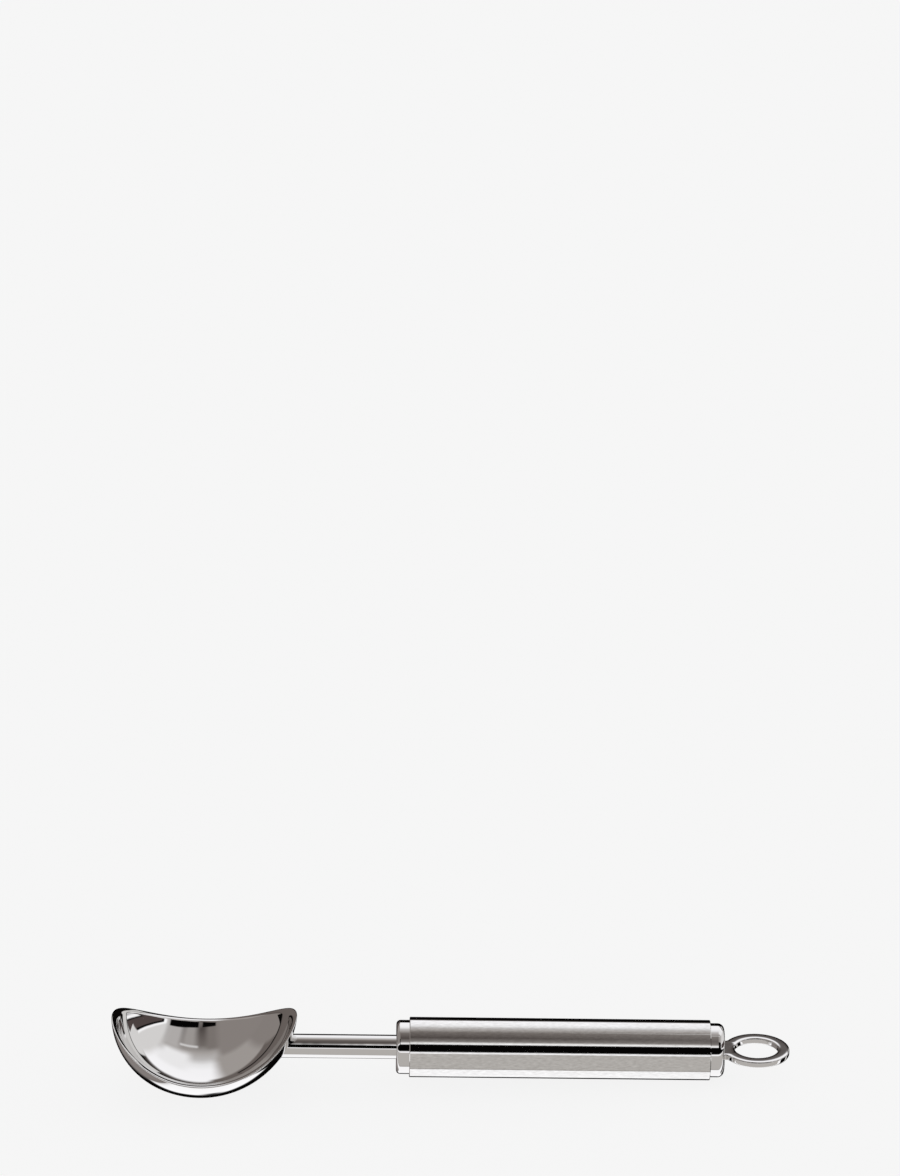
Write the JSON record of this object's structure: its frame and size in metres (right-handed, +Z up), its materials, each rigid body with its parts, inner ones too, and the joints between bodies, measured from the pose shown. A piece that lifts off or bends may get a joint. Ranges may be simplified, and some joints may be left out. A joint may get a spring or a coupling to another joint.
{
  "type": "ice cream scoop",
  "caption": "Stainless steel ice cream scoop: rounded bowl with a saddle-shaped rim on a slim rod, tubular handle with plugged ends and a hanging ring.",
  "frame": {"origin": "bottom centre of the bounding box, on the surface that the bowl and the rear end of the handle rest on", "axes": "+X along the scoop from the bowl to the hanging ring, +Y across it, +Z up; the scoop is symmetric about the XZ plane"},
  "size_m": [0.2248, 0.0518, 0.027],
  "materials": {
    "polished_steel": "mirror polished stainless steel",
    "satin_steel": "fine brushed stainless steel"
  },
  "bodies": {
    "root": {"bowl": "polished_steel", "neck_rod": "polished_steel", "front_cap": "polished_steel", "handle_tube": "satin_steel", "rear_cap": "polished_steel", "hanging_ring": "polished_steel"}
  },
  "joints": []
}
